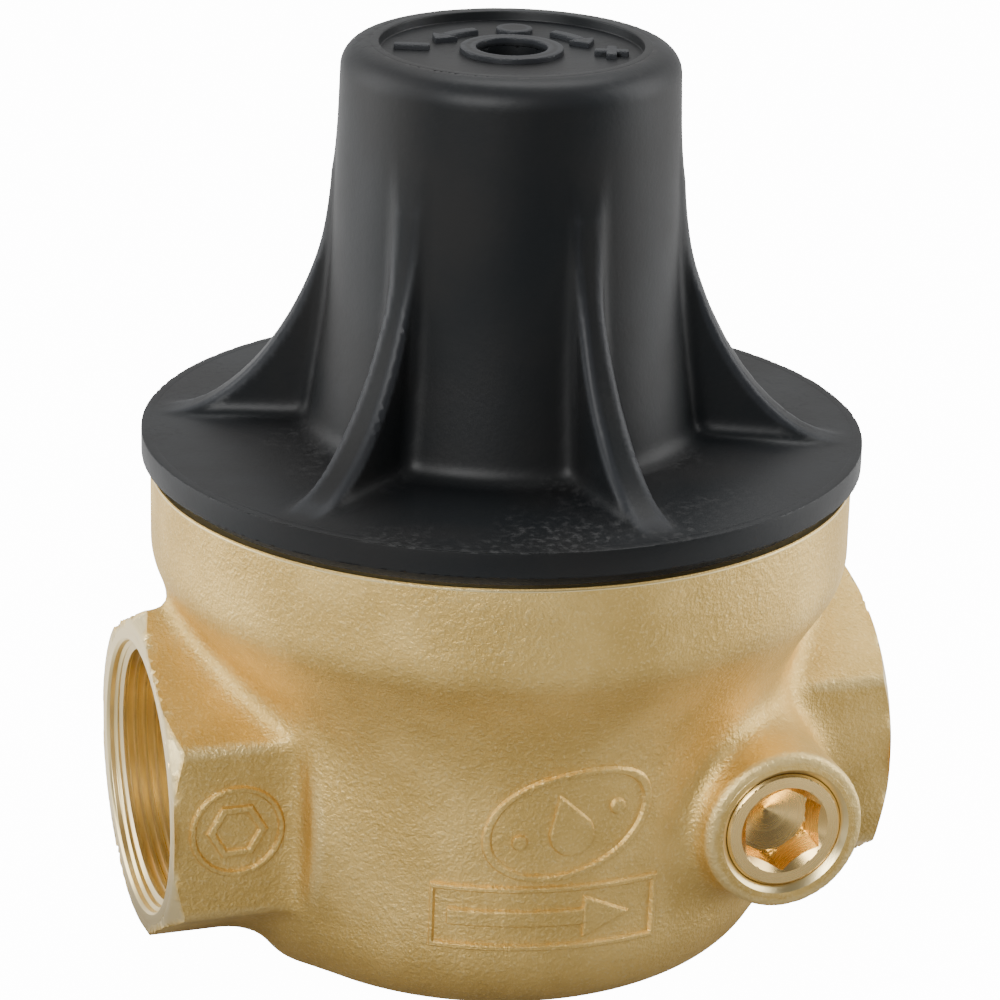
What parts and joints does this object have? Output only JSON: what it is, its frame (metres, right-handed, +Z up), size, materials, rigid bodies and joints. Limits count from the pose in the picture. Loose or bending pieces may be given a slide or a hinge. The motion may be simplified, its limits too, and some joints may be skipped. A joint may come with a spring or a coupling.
{
  "type": "pressure reducing valve",
  "caption": "Direct-acting water pressure reducing valve with a forged brass body, female threaded ports, a plugged gauge port and a ribbed plastic spring bonnet.",
  "frame": {"origin": "centre of the body's flat underside, on the bonnet's axis", "axes": "+X along the flow from the inlet port to the outlet port, +Z up the bonnet, -Y towards the gauge port"},
  "size_m": [0.167, 0.16, 0.2045],
  "materials": {
    "forged_brass": "blasted",
    "turned_brass": "machined",
    "black_plastic": "moulded, semi-matte",
    "rubber": "matte",
    "steel": "zinc plated or stainless",
    "spring_steel": "phosphated",
    "white_plastic": "acetal"
  },
  "bodies": {
    "root": {"valve_body": "forged_brass", "bonnet": "black_plastic", "bonnet_seal_ring": "rubber", "slip_ring": "white_plastic", "diaphragm": "rubber", "main_spring": "spring_steel", "screw_insert": "turned_brass", "seat_ring": "steel", "seat_o_ring": "rubber", "valve_cage": "white_plastic", "gauge_plug": "turned_brass", "plug_o_ring": "rubber"},
    "valve_train": {"stem": "steel", "lower_plate": "steel", "spring_seat": "steel", "top_washer": "steel", "top_nut": "steel", "disc_holder": "turned_brass", "disc_seal": "rubber", "seal_washer": "steel", "piston_o_ring": "rubber", "stem_nut": "steel"},
    "spring_plate": {"spring_plate": "steel", "thrust_washer": "white_plastic"},
    "adjusting_screw": {"adjusting_screw": "steel"}
  },
  "joints": [
    {"name": "valve_stroke", "type": "slide", "parent": "root", "child": "valve_train", "axis": [0, 0, 1], "range_m": [0, 0.0057], "stiffness_N_per_m": 15000, "springref_m": -0.012, "deforming": ["diaphragm"]},
    {"name": "preload_travel", "type": "slide", "parent": "root", "child": "spring_plate", "axis": [0, 0, -1], "range_m": [0, 0.01], "deforming": ["main_spring"]},
    {"name": "adjusting_screw_turn", "type": "hinge", "parent": "spring_plate", "child": "adjusting_screw", "pos_m": [0, 0, 0.166], "axis": [0, 0, -1], "range_deg": [0, 1800]}
  ],
  "couplings": [
    {"joint": "adjusting_screw_turn", "follows": "preload_travel", "rad_per_m": 3141.5}
  ]
}
